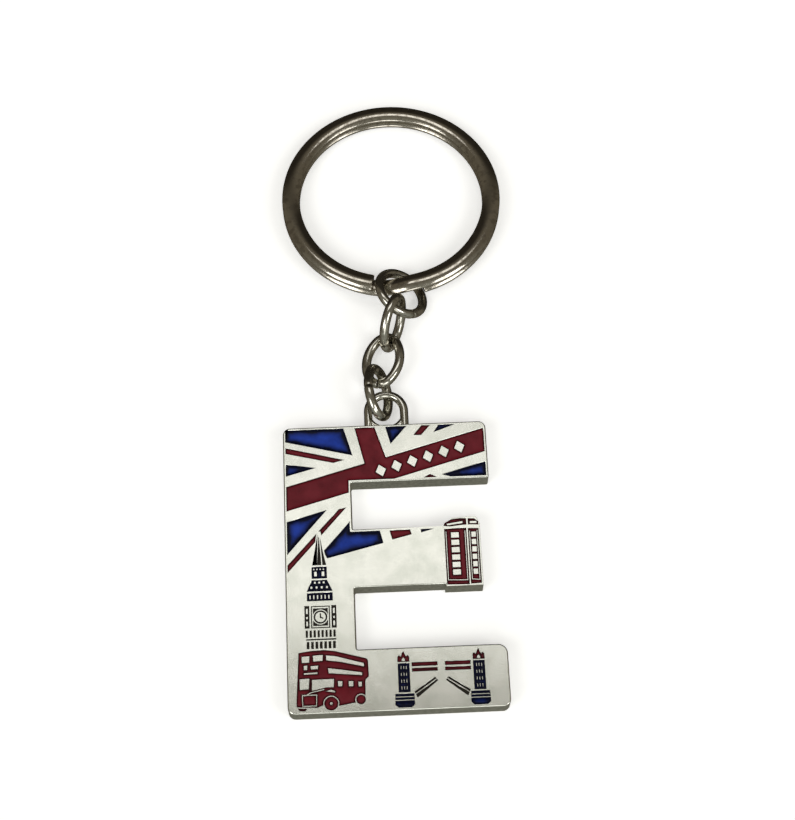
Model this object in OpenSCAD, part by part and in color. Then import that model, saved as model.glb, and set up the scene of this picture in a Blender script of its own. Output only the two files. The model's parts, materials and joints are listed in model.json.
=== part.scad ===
// Letter charm on a split ring, with three oval chain links and a jump ring.
// It lies on its back: +Z up out of the front face, +Y from the charm to the split ring.
// All sizes are in millimetres.

/* [Charm] */
// Height of the letter
charm_h = 37.6; // [31:0.2:46]
// Thickness of the casting
charm_t = 2.8; // [2.2:0.1:3.6]
// Width of the upright stem
stem_w = 8.6; // [7.6:0.1:11]
// Length of the top arm, from the left edge
top_arm_l = 26.3; // [24:0.1:32]
// Length of the bottom arm, from the left edge
bottom_arm_l = 27.2; // [25:0.1:33]
// Height of the top arm
top_arm_h = 7.85; // [7:0.05:9.4]
// Height of the bottom arm
bottom_arm_h = 7.8; // [7:0.05:9.4]
// Height of the middle arm
middle_arm_h = 7.65; // [7:0.05:9.2]
// Opening between the top and middle arms
upper_gap = 6.35; // [4.6:0.05:7.6]
// Radius of the letter's outer corners
corner_r = 0.9; // [0.4:0.1:1.4]
// Depth of the sunk cells
cell_depth = 0.5; // [0.3:0.05:0.8]
// How far the fill stays below the metal lines
fill_drop = 0.12; // [0.05:0.01:0.2]
// Metal rim between the cells and the letter's edge
rim = 0.3; // [0.2:0.05:0.4]

/* [Hanging loop] */
// Radius of the loop's bend, at the middle of its wire
loop_r = 2.35; // [2.1:0.05:2.8]
// Diameter of the loop's wire
loop_d = 1.1; // [0.9:0.05:1.3]
// Height of the bend's centre above the letter's top edge
loop_rise = 2.2; // [2:0.1:2.6]
// Distance of the loop's middle from the letter's left edge
loop_x = 13.5; // [11:0.1:16]

/* [Chain] */
// Diameter of the wire of the links and the jump ring
wire_d = 1.25; // [1:0.05:1.5]
// Length of a link's opening
link_open_l = 5.6; // [5:0.1:6.8]
// Width of a link's opening
link_open_w = 3.3; // [2.9:0.1:4]
// Inner diameter of the jump ring
jump_id = 5.5; // [5:0.1:6.6]
// Gap at the butt joint of each link and of the jump ring
butt_gap = 0.14; // [0.05:0.01:0.3]

/* [Split ring] */
// Outer diameter of the split ring
ring_od = 30; // [25:0.5:36]
// Width of the coil's section, across the ring
coil_w = 2.4; // [2:0.1:2.9]
// Height of one turn
coil_t = 1.25; // [1:0.05:1.5]

/* [Hidden] */
RED_STRIPES = 5;
BLUE_FIELDS = 8;
$fn = 48;

// Colours of the plated metal, the two enamels and the antique fill
NICKEL = "lightgray";
STEEL = "dimgray";
RED = "#6b2028";
BLUE = "#1f2f9a";
ANTIQUE = "#2b2a26";

// The pictures are drawn for a letter of this height and stem, and scale together with it
art_h = 37.6;
art_stem = 8.6;
art = min(charm_h / art_h, stem_w / art_stem);

// Levels down the letter, from its top edge
middle_top = top_arm_h + upper_gap;
middle_bottom = middle_top + middle_arm_h;
bottom_top = charm_h - bottom_arm_h;
// The phone box ends the middle arm: its width and how far its roof stands above the arm
box_w = 4.75 * art;
box_l = 20 * stem_w / art_stem;
roof_rise = 1.15 * art;

// Height of the loop's wire above the back, which leaves room for a link's wire below it
loop_z = wire_d + 0.1 + loop_d / 2;
// The arc that rounds the loop's hole on the letter's side is a little thinner than the wire it grows out of
eye_d = loop_d - 0.35;
eye_r = loop_r + 0.1;
eye_from = 184;

// Middle radius of the jump ring, and half sizes of a link's centre line
jump_r = (jump_id + wire_d) / 2;
half_l = (link_open_l + wire_d) / 2;
half_w = (link_open_w + wire_d) / 2;

// Places of the chain as it lies: across, along and up, each counted from the piece before it
low_at = [loop_x - 0.9, loop_rise + link_open_l / 2 - 0.3, 2.04 * wire_d];
middle_at = [low_at[0] + 0.8, low_at[1] + link_open_l - 0.8, 1.6 * wire_d];
upper_at = [middle_at[0] + 1.5, middle_at[1] + link_open_l - 0.6, 2.48 * wire_d];
jump_at = [upper_at[0] + 1.3, upper_at[1] + (link_open_l + jump_id) / 2 - 0.98, 2.06 * wire_d];
// How each piece is turned: in plan, pitched along the chain and rolled about its own length
low_turn = [3, -3, 57];
middle_turn = [-12, 0, -17];
upper_turn = [-15.5, 28, 71.5];
jump_turn = [-13, -22, 27];

// The split ring leans on the jump ring's wire on its near side
ring_r = (ring_od - coil_w) / 2;
ring_x = jump_at[0] - 0.75;
ring_y = jump_at[1] + ring_r + 1.05;
ring_lean = asin((wire_d + 0.06) / ring_od);
// The two turns lie this far apart, and the wire crosses from one to the other between these angles
turn_gap = 0.04;
cross_from = 262;
cross_to = 280;
low_end = 285.5;
top_end = 257.6;

// The object's middle in plan
mid_x = (min(0, ring_x - ring_od / 2) + max(bottom_arm_l, ring_x + ring_od / 2)) / 2;
mid_y = (ring_y + ring_od / 2 - charm_h) / 2;

// ---------- helpers ----------

// Points of an arc about c, from angle a to angle b
function arc(c, r, a, b, n = 6) = [for (i = [0:n]) c + r * [cos(a + (b - a) * i / n), sin(a + (b - a) * i / n)]];

// Turns [across, down] points into plan points
function face(pts) = [for (p = pts) [p[0], -p[1]]];

// A picture's polygon, from [across, down] points
module drawn(pts) {
    polygon(face([for (p = pts) p * art]));
}

// A rectangle by its left, top, right and bottom levels
module slab(left, top, right, bottom) {
    drawn([[left, top], [right, top], [right, bottom], [left, bottom]]);
}

// A straight metal line of width w between two points
module line(a, b, w = 0.14) {
    d = b - a;
    n = w / 2 * [-d[1], d[0]] / norm(d);
    drawn([a + n, b + n, b - n, a - n]);
}

// Stands the object on the origin, under its own middle
module centred() {
    translate([-mid_x, -mid_y, 0]) children();
}

// Puts a piece of the chain in its place
module placed(at, turn) {
    centred()
        translate(at)
            rotate([0, 0, turn[0]]) rotate([turn[1], 0, 0]) rotate([0, turn[2], 0])
                children();
}

// Pictures that keep to the letter's foot
module from_foot() {
    translate([0, art_h * art - charm_h]) children();
}

// The bridge keeps to the foot and to the end of the bottom arm
module from_bottom_end() {
    translate([bottom_arm_l - 27.2 * art, 0]) from_foot() children();
}

// The phone box keeps to the end of the middle arm
module from_box() {
    translate([box_l - 20 * art, 14.2 * art - middle_top]) children();
}

// ---------- the letter ----------

// The letter's outline, with the phone box as the end of the middle arm
module letter_2d() {
    r = corner_r;
    small = 0.25;
    right = box_l + box_w;
    polygon(concat(
        arc([r, -r], r, 180, 90),
        arc([top_arm_l - r, -r], r, 90, 0),
        arc([top_arm_l - small, -top_arm_h + small], small, 0, -90),
        arc([stem_w + small, -top_arm_h - small], small, 90, 180),
        arc([stem_w + small, -middle_top + small], small, 180, 270),
        face([[box_l, middle_top], [box_l + 0.25 * box_w, middle_top - roof_rise * 0.85],
              [box_l + 0.68 * box_w, middle_top - roof_rise],
              [box_l + 0.9 * box_w, middle_top - roof_rise],
              [right, middle_top - 0.2 * roof_rise]]),
        [[right, -middle_bottom - 0.3 * art], [box_l, -middle_bottom - 0.3 * art], [box_l, -middle_bottom]],
        arc([stem_w + small, -middle_bottom - small], small, 90, 180),
        arc([stem_w + small, -bottom_top + small], small, 180, 270),
        arc([bottom_arm_l - 1.3 * r, -bottom_top - 1.3 * r], 1.3 * r, 90, 0),
        arc([bottom_arm_l - r, -charm_h + r], r, 0, -90),
        arc([r, -charm_h + r], r, 270, 180)));
}

// Where the flag's cells may lie: the letter's flat face, less the rim
module flag_room_2d() {
    polygon(face([[rim, rim], [top_arm_l - rim, rim], [top_arm_l - rim, top_arm_h - rim],
                  [stem_w - rim, top_arm_h - rim], [stem_w - rim, middle_top + rim],
                  [box_l - rim, middle_top + rim], [box_l - rim, middle_bottom - rim],
                  [stem_w - rim, middle_bottom - rim], [stem_w - rim, charm_h - rim], [rim, charm_h - rim]]));
}

// ---------- flag ----------

cross_slope = -0.28;

FLAG_RED = [
    [[-0.5, 2.55], [7.8, 4.7], [6.4, 5.05], [-0.5, 3.35]],
    [[18.65, -0.5], [19.8, -0.5], [17.9, 1.65], [16.9, 1.6]],
    [[17.2, 8], [18.8, 7.05], [20.4, 8]],
    [[6.95, 11.4], [7.9, 11.2], [-0.5, 20.5], [-0.5, 19.5]],
    [[12.9, 13], [15.55, 13], [16.05, 15.15], [13.6, 15.75]]];

FLAG_BLUE = [
    [[-0.5, -0.5], [7.65, -0.5], [8.9, 4.1], [-0.5, 1.75]],
    [[-0.5, 4.9], [4.15, 5.65], [-0.5, 6.9]],
    [[13.1, -0.5], [16.75, -0.5], [13.9, 2.7]],
    [[20.65, -0.5], [24.65, -0.5], [19.55, 1.3]],
    [[20.3, 7.2], [27.5, 5.2], [27.5, 8.5], [24.6, 8.5]],
    [[-0.5, 13.1], [5.4, 11.45], [-0.5, 18.15]],
    [[10, 11.2], [11.7, 13], [12.45, 16.15], [5.3, 17.9], [4.85, 16.95]],
    [[17.05, 13.5], [22.6, 13.5], [17.3, 14.95]]];

// The broad cross, with a row of six raised lozenges where its arm passes the notch
module flag_cross_2d() {
    intersection() {
        flag_room_2d();
        difference() {
            union() {
                drawn([[-1, 8.5], [29, 8.5 + 30 * cross_slope], [29, 11.8 + 30 * cross_slope], [-1, 11.8]]);
                drawn([[9.1, -0.5], [11.65, -0.5], [13.3, 4.8], [10.5, 5.6]]);
            }
            for (i = [0:5]) {
                translate([(12.5 + 2.05 * i) * art, -(6.35 + 2.05 * i * cross_slope) * art])
                    rotate(16) drawn([[-0.7, 0], [0, -0.85], [0.7, 0], [0, 0.85]]);
            }
        }
    }
}

// A cell of the flag, kept inside the rim and clear of the clock tower
module flag_cell_2d(pts) {
    difference() {
        intersection() {
            flag_room_2d();
            drawn(pts);
        }
        from_foot() drawn([[4.05, 14.3], [4.55, 14.3], [5, 17.2], [5.5, 19], [5.6, 24], [2.8, 24], [3.1, 19],
                           [3.6, 17.2]]);
    }
}

// ---------- clock tower ----------

module tower_spire_2d() {
    from_foot() difference() {
        drawn([[4.12, 15], [4.45, 15], [4.8, 17.2], [5.15, 18.75], [3.4, 18.75], [3.8, 17.2]]);
        line([4.2, 14.9], [3.95, 18.9]);
        line([4.38, 14.9], [4.62, 18.9]);
    }
}

module tower_stage_2d() {
    from_foot() difference() {
        slab(3.3, 18.95, 5.2, 20.5);
        for (i = [0:3]) slab(3.5 + 0.4 * i, 19.2, 3.66 + 0.4 * i, 19.4);
        slab(3.6, 19.6, 3.95, 20.2);
        slab(4.55, 19.6, 4.9, 20.2);
    }
}

module tower_roof_2d() {
    from_foot() difference() {
        drawn([[3.3, 20.7], [5.2, 20.7], [5.85, 22.15], [2.65, 22.15]]);
        for (i = [0:2]) slab(3.55 + 0.55 * i, 20.9, 3.8 + 0.55 * i, 21.15);
        for (i = [0:3]) slab(3.1 + 0.65 * i, 21.5, 3.35 + 0.65 * i, 21.8);
    }
}

module tower_belfry_2d() {
    from_foot() difference() {
        slab(2.65, 22.35, 5.85, 23.4);
        for (i = [0:5]) slab(2.95 + 0.47 * i, 22.65, 3.12 + 0.47 * i, 23.15);
    }
}

// The clock stage: the panels beside the dial, the line round it, its spandrels, its plain ring and two hands
module tower_clock_2d() {
    from_foot() {
        for (left = [2.3, 5.65]) {
            difference() {
                slab(left, 24, left + 0.6, 26.9);
                slab(left + 0.18, 24.35, left + 0.42, 25.05);
                slab(left + 0.18, 25.4, left + 0.42, 25.7);
                slab(left + 0.18, 26, left + 0.42, 26.6);
            }
        }
        difference() {
            slab(3.1, 24.05, 5.45, 26.9);
            slab(3.22, 24.17, 5.33, 26.78);
        }
        difference() {
            slab(3.36, 24.35, 5.19, 26.6);
            translate([4.27 * art, -25.48 * art]) circle(r = 0.98 * art);
        }
        difference() {
            translate([4.27 * art, -25.48 * art]) circle(r = 0.84 * art);
            translate([4.27 * art, -25.48 * art]) circle(r = 0.66 * art);
        }
        line([4.27, 25.6], [4.27, 25]);
        line([4.2, 25.44], [4.62, 25.68]);
    }
}

module tower_louvre_2d() {
    from_foot() for (i = [0:7]) slab(2.4 + 0.49 * i, 27.15, 2.66 + 0.49 * i, 28.05);
}

module tower_pillar_2d() {
    from_foot() {
        slab(2.45, 28.25, 6.15, 28.42);
        for (i = [0:6]) slab(2.5 + 0.54 * i, 28.6, 2.82 + 0.54 * i, 29.5);
    }
}

// ---------- double-deck bus ----------

module bus_2d() {
    from_foot() {
        difference() {
            drawn([[1.45, 29.95], [3, 29.75], [4.7, 29.7], [6, 29.9], [9.75, 30.95], [9.95, 31.2], [10, 33.2],
                   [9.55, 33.65], [9.5, 36.2], [6.1, 36.75], [4.5, 36.5], [3.6, 36.85], [1.1, 36.7], [1.1, 36.3]]);
            bus_glass_2d();
            bus_lines_2d();
            translate([5.32 * art, -36.4 * art]) circle(r = 0.98 * art);
            translate([8.95 * art, -36.05 * art]) circle(r = 0.72 * art);
        }
        difference() {
            translate([5.32 * art, -36.4 * art]) circle(r = 0.84 * art);
            translate([5.32 * art, -36.4 * art]) circle(r = 0.17 * art);
        }
        translate([8.95 * art, -36.05 * art]) circle(r = 0.58 * art);
        drawn([[1.25, 36.85], [2.4, 36.92], [2.15, 37.22], [1.45, 37.2]]);
    }
}

module bus_glass_2d() {
    drawn([[1.82, 30.44], [2.78, 30.4], [2.76, 31.18], [1.85, 31.23]]);
    drawn([[3.2, 30.36], [4.43, 30.3], [4.39, 31.04], [3.24, 31.1]]);
    drawn([[4.82, 30.38], [5.95, 30.52], [9.45, 31.55], [9.45, 31.95], [6.5, 31.25], [4.85, 31]]);
    drawn([[2.05, 31.6], [2.5, 31.57], [2.48, 32.12], [2.1, 32.13]]);
    drawn([[2.9, 31.66], [3.85, 31.62], [3.78, 32.06], [2.93, 32.08]]);
    drawn([[2.06, 32.5], [3.74, 32.46], [3.73, 32.66], [2.08, 32.7]]);
    drawn([[5.02, 31.98], [6.5, 32.22], [9.21, 32.7], [9.18, 33.03], [5.1, 32.63]]);
    drawn([[1.52, 33.25], [2.72, 33.2], [2.62, 34.52], [1.54, 34.57]]);
    drawn([[3.03, 33.38], [5.72, 33.36], [5.68, 34.38], [4.85, 34.36], [3, 34.72]]);
    drawn([[6.18, 33.66], [6.76, 33.68], [6.71, 34.32], [6.21, 34.3]]);
    drawn([[7.5, 33.72], [8.09, 33.74], [8.07, 34.38], [7.52, 34.36]]);
    drawn([[8.68, 33.84], [9.13, 33.84], [9.11, 34.42], [8.7, 34.42]]);
    drawn([[4.7, 34.86], [5.35, 34.68], [5.85, 34.9], [5.8, 35.06], [5.2, 34.96]]);
}

// Raised lines of the radiator's frame and of the bonnet's edge
module bus_lines_2d() {
    line([1.78, 35.27], [3.62, 35.27], 0.11);
    line([1.83, 35.27], [1.86, 36.6], 0.11);
    line([3.57, 35.27], [3.52, 36.6], 0.11);
    line([1.83, 36.6], [3.55, 36.6], 0.11);
    line([2.4, 35.2], [2.9, 34.95], 0.11);
    line([2.9, 34.95], [4.5, 34.62], 0.11);
}

// ---------- phone box ----------

module phone_roof_2d() {
    from_box() {
        difference() {
            drawn([[20.15, 14.2], [20.3, 13.8], [21.2, 13.35], [22.3, 13.25], [23.05, 13.3], [23.05, 14.15],
                   [22.3, 14.18], [21, 14.32]]);
            drawn([[20.55, 13.94], [22.56, 13.66], [22.6, 13.92], [20.6, 14.16]]);
        }
        difference() {
            drawn([[23.25, 13.3], [24.1, 13.35], [24.55, 13.75], [24.6, 14.2], [23.25, 14.15]]);
            slab(23.5, 13.7, 24.36, 13.98);
        }
    }
}

// One face of the box: its frame, a raised moulding and a column of raised panes
module phone_face_2d(left, right, pane_l, pane_r, lift) {
    top = 14.62;
    foot = 21.95;
    difference() {
        drawn([[left, top], [right, top - lift], [right, foot + lift], [left, foot]]);
        line([left + 0.2, top + 0.35], [left + 0.2, foot - 0.6], 0.1);
        line([right - 0.2, top + 0.3], [right - 0.2, foot - 0.5], 0.1);
        line([left + 0.15, foot - 0.6], [right - 0.15, foot - 0.5], 0.1);
        for (i = [0:5]) slab(pane_l, 15.12 + 0.98 * i, pane_r, 15.82 + 0.98 * i);
    }
}

module phone_front_2d() {
    from_box() phone_face_2d(20.2, 23.02, 21.02, 22.02, 0.08);
}

module phone_side_2d() {
    from_box() phone_face_2d(23.2, 24.55, 23.6, 24.18, -0.05);
}

// ---------- lifting bridge ----------

// One tower, drawn about its own middle: windows stand as short raised lines
module bridge_tower_2d(x) {
    from_bottom_end() difference() {
        slab(x - 0.72, 31.75, x + 0.72, 35.38);
        for (i = [0:3]) {
            for (dx = [-0.32, 0, 0.32]) line([x + dx, 32.1 + 0.85 * i], [x + dx, 32.5 + 0.85 * i], 0.1);
        }
    }
}

// The red top of a tower, with its turrets and pointed roof over a small arch
module bridge_cap_2d(x) {
    from_bottom_end() difference() {
        drawn([[x - 0.72, 31.6], [x - 0.72, 30.95], [x - 0.5, 30.7], [x - 0.35, 30.95], [x, 30.2],
               [x + 0.35, 30.95], [x + 0.5, 30.7], [x + 0.72, 30.95], [x + 0.72, 31.6]]);
        drawn([[x - 0.2, 31.5], [x - 0.2, 31.25], [x, 31.05], [x + 0.2, 31.25], [x + 0.2, 31.5]]);
    }
}

module bridge_pier_2d(x) {
    from_bottom_end() difference() {
        drawn([[x - 1.15, 35.55], [x + 1.15, 35.55], [x + 1.2, 36.9], [x + 0.8, 37.25], [x - 0.8, 37.25],
               [x - 1.2, 36.9]]);
        line([x - 1.1, 35.95], [x + 1.1, 35.95], 0.1);
        line([x - 1.25, 36.35], [x + 1.25, 36.35], 0.1);
    }
}

module bridge_walkway_2d(left) {
    from_bottom_end() {
        slab(left, 31.7, left + 3.15, 32.2);
        slab(left, 32.42, left + 3.15, 32.86);
    }
}

// A lifting span, from its foot at the tower to its raised end, with one metal line along it
module bridge_span_2d(foot_x, tip_x) {
    from_bottom_end() difference() {
        drawn([[foot_x, 35.35], [tip_x, 33.6], [tip_x + (tip_x > foot_x ? 0.35 : -0.35), 34.05],
               [foot_x + (tip_x > foot_x ? 0.35 : -0.35), 36.1]]);
        line([foot_x - (tip_x > foot_x ? 0.2 : -0.2), 35.86], [tip_x + (tip_x > foot_x ? 0.3 : -0.3), 33.76], 0.1);
    }
}

bridge_left_x = 14.3;
bridge_right_x = 23.55;

// ---------- cells and fills ----------

// Every sunk cell of the front
module cells_2d() {
    flag_cross_2d();
    for (pts = FLAG_RED) flag_cell_2d(pts);
    for (pts = FLAG_BLUE) flag_cell_2d(pts);
    tower_spire_2d();
    tower_stage_2d();
    tower_roof_2d();
    tower_belfry_2d();
    tower_clock_2d();
    tower_louvre_2d();
    tower_pillar_2d();
    bus_2d();
    phone_roof_2d();
    phone_front_2d();
    phone_side_2d();
    for (x = [bridge_left_x, bridge_right_x]) {
        bridge_tower_2d(x);
        bridge_cap_2d(x);
        bridge_pier_2d(x);
    }
    bridge_walkway_2d(15.3);
    bridge_walkway_2d(19.38);
    bridge_span_2d(15.5, 18.1);
    bridge_span_2d(22.35, 19.75);
}

// A pool of fill, seated on the floor of its cell
module fill(colour) {
    color(colour) centred()
        translate([0, 0, charm_t - cell_depth]) linear_extrude(cell_depth - fill_drop) children();
}

// The cast letter, with the hanging loop that grows out of its top edge
module charm_plate() {
    color(NICKEL) centred() {
        difference() {
            linear_extrude(charm_t) letter_2d();
            translate([0, 0, charm_t - cell_depth]) linear_extrude(cell_depth + 1) cells_2d();
        }
        translate([loop_x, loop_rise, loop_z]) {
            rotate_extrude(angle = 180) translate([loop_r, 0]) circle(d = loop_d);
            rotate([0, 0, eye_from])
                rotate_extrude(angle = 2 * (270 - eye_from)) translate([eye_r, 0]) circle(d = eye_d);
            for (side = [-1, 1]) {
                translate([side * loop_r, 0, 0]) rotate([90, 0, 0]) cylinder(h = loop_rise + rim / 2, d = loop_d);
            }
        }
    }
}

// ---------- chain ----------

// An arc of round wire about c, in the XY plane
module wire_arc(c, r, a, b) {
    translate([c[0], c[1], 0]) rotate([0, 0, a]) rotate_extrude(angle = b - a) translate([r, 0]) circle(d = wire_d);
}

// The upper half of an oval link. Its side and end arcs meet on the slope of a 3-4-5 triangle.
module link_half() {
    end_r = (3 * half_w - half_l) / 2;
    side_r = 5 * half_w - 4 * end_r;
    meet = atan2(3, 4);
    for (side = [0, 180]) {
        rotate([0, side, 0]) union() {
            wire_arc([half_w - side_r, 0], side_r, 0, meet);
            wire_arc([0, half_l - end_r], end_r, meet, 90);
        }
    }
}

// An oval link along Y, with a cut for its butt joint at the given place
module oval_link(cut_at, cut_size) {
    difference() {
        union() {
            for (end = [0, 180]) rotate([end, 0, 0]) link_half();
        }
        translate(cut_at) cube([cut_size[0], cut_size[1], 2 * wire_d], center = true);
    }
}

module chain_link_lower() {
    color(NICKEL) placed(low_at, low_turn) oval_link([-half_w, 0, 0], [2 * wire_d, butt_gap]);
}

module chain_link_middle() {
    color(NICKEL) placed(middle_at, middle_turn) oval_link([0, -half_l, 0], [butt_gap, 2 * wire_d]);
}

module chain_link_upper() {
    color(NICKEL) placed(upper_at, upper_turn) oval_link([0, -half_l, 0], [butt_gap, 2 * wire_d]);
}

// The jump ring's butt joint lies low on its right
module jump_ring() {
    joint_at = -50;
    cut = butt_gap / jump_r * 90 / PI;
    color(NICKEL) placed(jump_at, jump_turn) wire_arc([0, 0], jump_r, joint_at + cut, joint_at + 360 - cut);
}

// ---------- split ring ----------

// The wire's section: flat sides, and a crown above and below
module coil_section() {
    crown = 1.9;
    intersection() {
        square([coil_w, coil_t], center = true);
        translate([0, coil_t / 2 - crown]) circle(r = crown);
        translate([0, crown - coil_t / 2]) circle(r = crown);
    }
}

// One level turn, from angle a to angle b, at height z
module coil_turn(a, b, z) {
    translate([0, 0, z]) rotate([0, 0, a]) rotate_extrude(angle = b - a, $fn = 96)
        translate([ring_r, 0]) coil_section();
}

// Two turns of one wire, joined by a short stretch that climbs from the lower to the upper
module split_ring() {
    rise = coil_t + turn_gap;
    half = (cross_to - cross_from) / 2;
    slope = asin(rise / 2 / (ring_r * sin(half)));
    overlap = 1;
    color(STEEL) centred()
        translate([ring_x, ring_y + ring_od / 2, 0]) rotate([-ring_lean, 0, 0])
            translate([0, -ring_od / 2, coil_t / 2]) {
                coil_turn(low_end, 360 + cross_from + overlap, 0);
                coil_turn(cross_to - overlap, 360 + top_end, rise);
                translate([0, 0, rise / 2]) rotate([0, 0, (cross_from + cross_to) / 2]) rotate([slope, 0, 0])
                    rotate([0, 0, -half]) rotate_extrude(angle = 2 * half, $fn = 96)
                        translate([ring_r, 0]) coil_section();
            }
}

// ---------- nodes ----------

charm_plate();
split_ring();
jump_ring();
chain_link_upper();
chain_link_middle();
chain_link_lower();
fill(RED) flag_cross_2d();  // flag_cross_red
for (i = [1:RED_STRIPES]) {
    fill(RED) flag_cell_2d(FLAG_RED[i - 1]);
}
for (i = [1:BLUE_FIELDS]) {
    fill(BLUE) flag_cell_2d(FLAG_BLUE[i - 1]);
}
fill(ANTIQUE) tower_spire_2d();  // tower_spire_fill
fill(BLUE) tower_stage_2d();  // tower_stage_blue
fill(BLUE) tower_roof_2d();  // tower_roof_blue
fill(BLUE) tower_belfry_2d();  // tower_belfry_blue
fill(ANTIQUE) tower_clock_2d();  // tower_clock_fill
fill(ANTIQUE) tower_louvre_2d();  // tower_louvre_fill
fill(ANTIQUE) tower_pillar_2d();  // tower_pillar_fill
fill(RED) bus_2d();  // bus_red
fill(RED) phone_roof_2d();  // phone_roof_red
fill(RED) phone_front_2d();  // phone_front_red
fill(RED) phone_side_2d();  // phone_side_red
fill(BLUE) bridge_tower_2d(bridge_left_x);  // bridge_left_blue
fill(BLUE) bridge_tower_2d(bridge_right_x);  // bridge_right_blue
fill(RED) bridge_cap_2d(bridge_left_x);  // bridge_left_cap_red
fill(RED) bridge_cap_2d(bridge_right_x);  // bridge_right_cap_red
fill(BLUE) bridge_pier_2d(bridge_left_x);  // bridge_left_pier_blue
fill(BLUE) bridge_pier_2d(bridge_right_x);  // bridge_right_pier_blue
fill(RED) bridge_walkway_2d(15.3);  // bridge_left_walkway_red
fill(RED) bridge_walkway_2d(19.38);  // bridge_right_walkway_red
fill(ANTIQUE) bridge_span_2d(15.5, 18.1);  // bridge_left_span_dark
fill(ANTIQUE) bridge_span_2d(22.35, 19.75);  // bridge_right_span_dark
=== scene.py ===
"""Keychain: a nickel-plated letter charm with soft enamel, on a short link chain and a split ring.

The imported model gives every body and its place. This script models the fine shape of each piece around it,
gives each its finish, and sets the floor, the light and the camera. All lengths are in metres, unless a name
says otherwise.
"""

from __future__ import annotations

import json
import logging
import math
from dataclasses import dataclass, field
from enum import Enum
from typing import Iterable

import bmesh
import bpy
import numpy as np
from mathutils import Matrix, Vector

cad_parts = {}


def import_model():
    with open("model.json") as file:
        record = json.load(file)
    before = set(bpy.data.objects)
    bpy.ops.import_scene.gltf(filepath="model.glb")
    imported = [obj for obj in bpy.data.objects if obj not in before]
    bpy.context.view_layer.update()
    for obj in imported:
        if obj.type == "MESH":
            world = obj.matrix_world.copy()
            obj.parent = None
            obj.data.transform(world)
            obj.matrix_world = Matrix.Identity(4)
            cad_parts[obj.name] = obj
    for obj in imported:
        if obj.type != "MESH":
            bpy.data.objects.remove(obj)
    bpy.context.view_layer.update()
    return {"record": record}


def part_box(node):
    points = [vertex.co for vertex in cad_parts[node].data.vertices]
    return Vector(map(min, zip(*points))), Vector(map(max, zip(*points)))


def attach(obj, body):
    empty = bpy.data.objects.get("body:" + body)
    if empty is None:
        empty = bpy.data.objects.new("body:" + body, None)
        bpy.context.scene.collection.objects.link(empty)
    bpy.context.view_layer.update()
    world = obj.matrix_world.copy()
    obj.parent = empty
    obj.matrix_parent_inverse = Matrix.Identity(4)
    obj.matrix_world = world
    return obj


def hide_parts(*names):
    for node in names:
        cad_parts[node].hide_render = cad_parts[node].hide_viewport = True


log = logging.getLogger("keychain")

MM = 0.001
# Heights closer than this are the same level
SAME_LEVEL = 0.01 * MM
# Points of a swept wire closer than this are one
WELD = 0.0005 * MM
# Nearly all the values of a noise lie between these
NOISE_LOW = 0.3
NOISE_HIGH = 0.7


# ---------------------------------------------------------------- helpers


def linear(hex_code: str) -> tuple[float, float, float, float]:
    """Turns an sRGB hex value into the linear colour that shaders take.

    Args:
        hex_code: six hex digits, such as "c0c0c0".

    Returns:
        Red, green, blue and an alpha of one.
    """
    parts = [int(hex_code[i : i + 2], 16) / 255 for i in (0, 2, 4)]
    red, green, blue = (c / 12.92 if c <= 0.04045 else ((c + 0.055) / 1.055) ** 2.4 for c in parts)
    return red, green, blue, 1.0


def add_node(
    tree: bpy.types.NodeTree, kind: str, settings: dict | None = None, links: dict | None = None
) -> bpy.types.Node:
    """Adds a shader node with its settings and its incoming links.

    Args:
        tree: the material's node tree.
        kind: the node's type, such as "ShaderNodeTexNoise".
        settings: socket values and node properties by name; a socket's name wins.
        links: input socket names or indices, each with the output socket that feeds it.

    Returns:
        The new node.
    """
    node = tree.nodes.new(kind)
    for name, value in (settings or {}).items():
        if isinstance(name, int) or name in node.inputs:
            node.inputs[name].default_value = value
        else:
            setattr(node, name, value)
    for name, output in (links or {}).items():
        tree.links.new(output, node.inputs[name])
    return node


def new_material(name: str) -> tuple[bpy.types.Material, bpy.types.NodeTree, bpy.types.Node]:
    """Makes an empty material with a Principled shader.

    Args:
        name: the material's name.

    Returns:
        The material, its node tree and its Principled node.
    """
    material = bpy.data.materials.new(name)
    material.use_nodes = True
    tree = material.node_tree
    tree.nodes.clear()
    shader = add_node(tree, "ShaderNodeBsdfPrincipled")
    add_node(tree, "ShaderNodeOutputMaterial", links={"Surface": shader.outputs["BSDF"]})
    return material, tree, shader


def to_object(
    form: bmesh.types.BMesh,
    name: str,
    materials: Iterable[bpy.types.Material],
    sharp_from: float = 38.0,
) -> bpy.types.Object:
    """Turns a finished bmesh into an object at the origin.

    Args:
        form: the shape, in the row frame; it is freed.
        name: the piece's name.
        materials: the slots' materials, in order.
        sharp_from: the angle in degrees from which an edge stays sharp.

    Returns:
        The new object, smooth shaded with its sharp edges kept.
    """
    mesh = bpy.data.meshes.new(name)
    form.to_mesh(mesh)
    form.free()
    piece = bpy.data.objects.new(name, mesh)
    bpy.context.scene.collection.objects.link(piece)
    for material in materials:
        mesh.materials.append(material)
    mesh.polygons.foreach_set("use_smooth", [True] * len(mesh.polygons))
    mesh.set_sharp_from_angle(angle=math.radians(sharp_from))
    return piece


def node_form(node: str, merge: float = 0.0004 * MM, flat_within: float = 0.4) -> bmesh.types.BMesh:
    """Copies a CAD node's mesh as a closed form with whole flat faces.

    Args:
        node: the CAD node.
        merge: points closer than this become one.
        flat_within: faces that turn by less than this, in degrees, become one.

    Returns:
        The new bmesh.
    """
    form = bmesh.new()
    form.from_mesh(bpy.data.objects[node].data)
    bmesh.ops.remove_doubles(form, verts=form.verts, dist=merge)
    bmesh.ops.dissolve_limit(
        form,
        angle_limit=math.radians(flat_within),
        verts=form.verts,
        edges=form.edges,
        use_dissolve_boundaries=False,
    )
    return form


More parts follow.
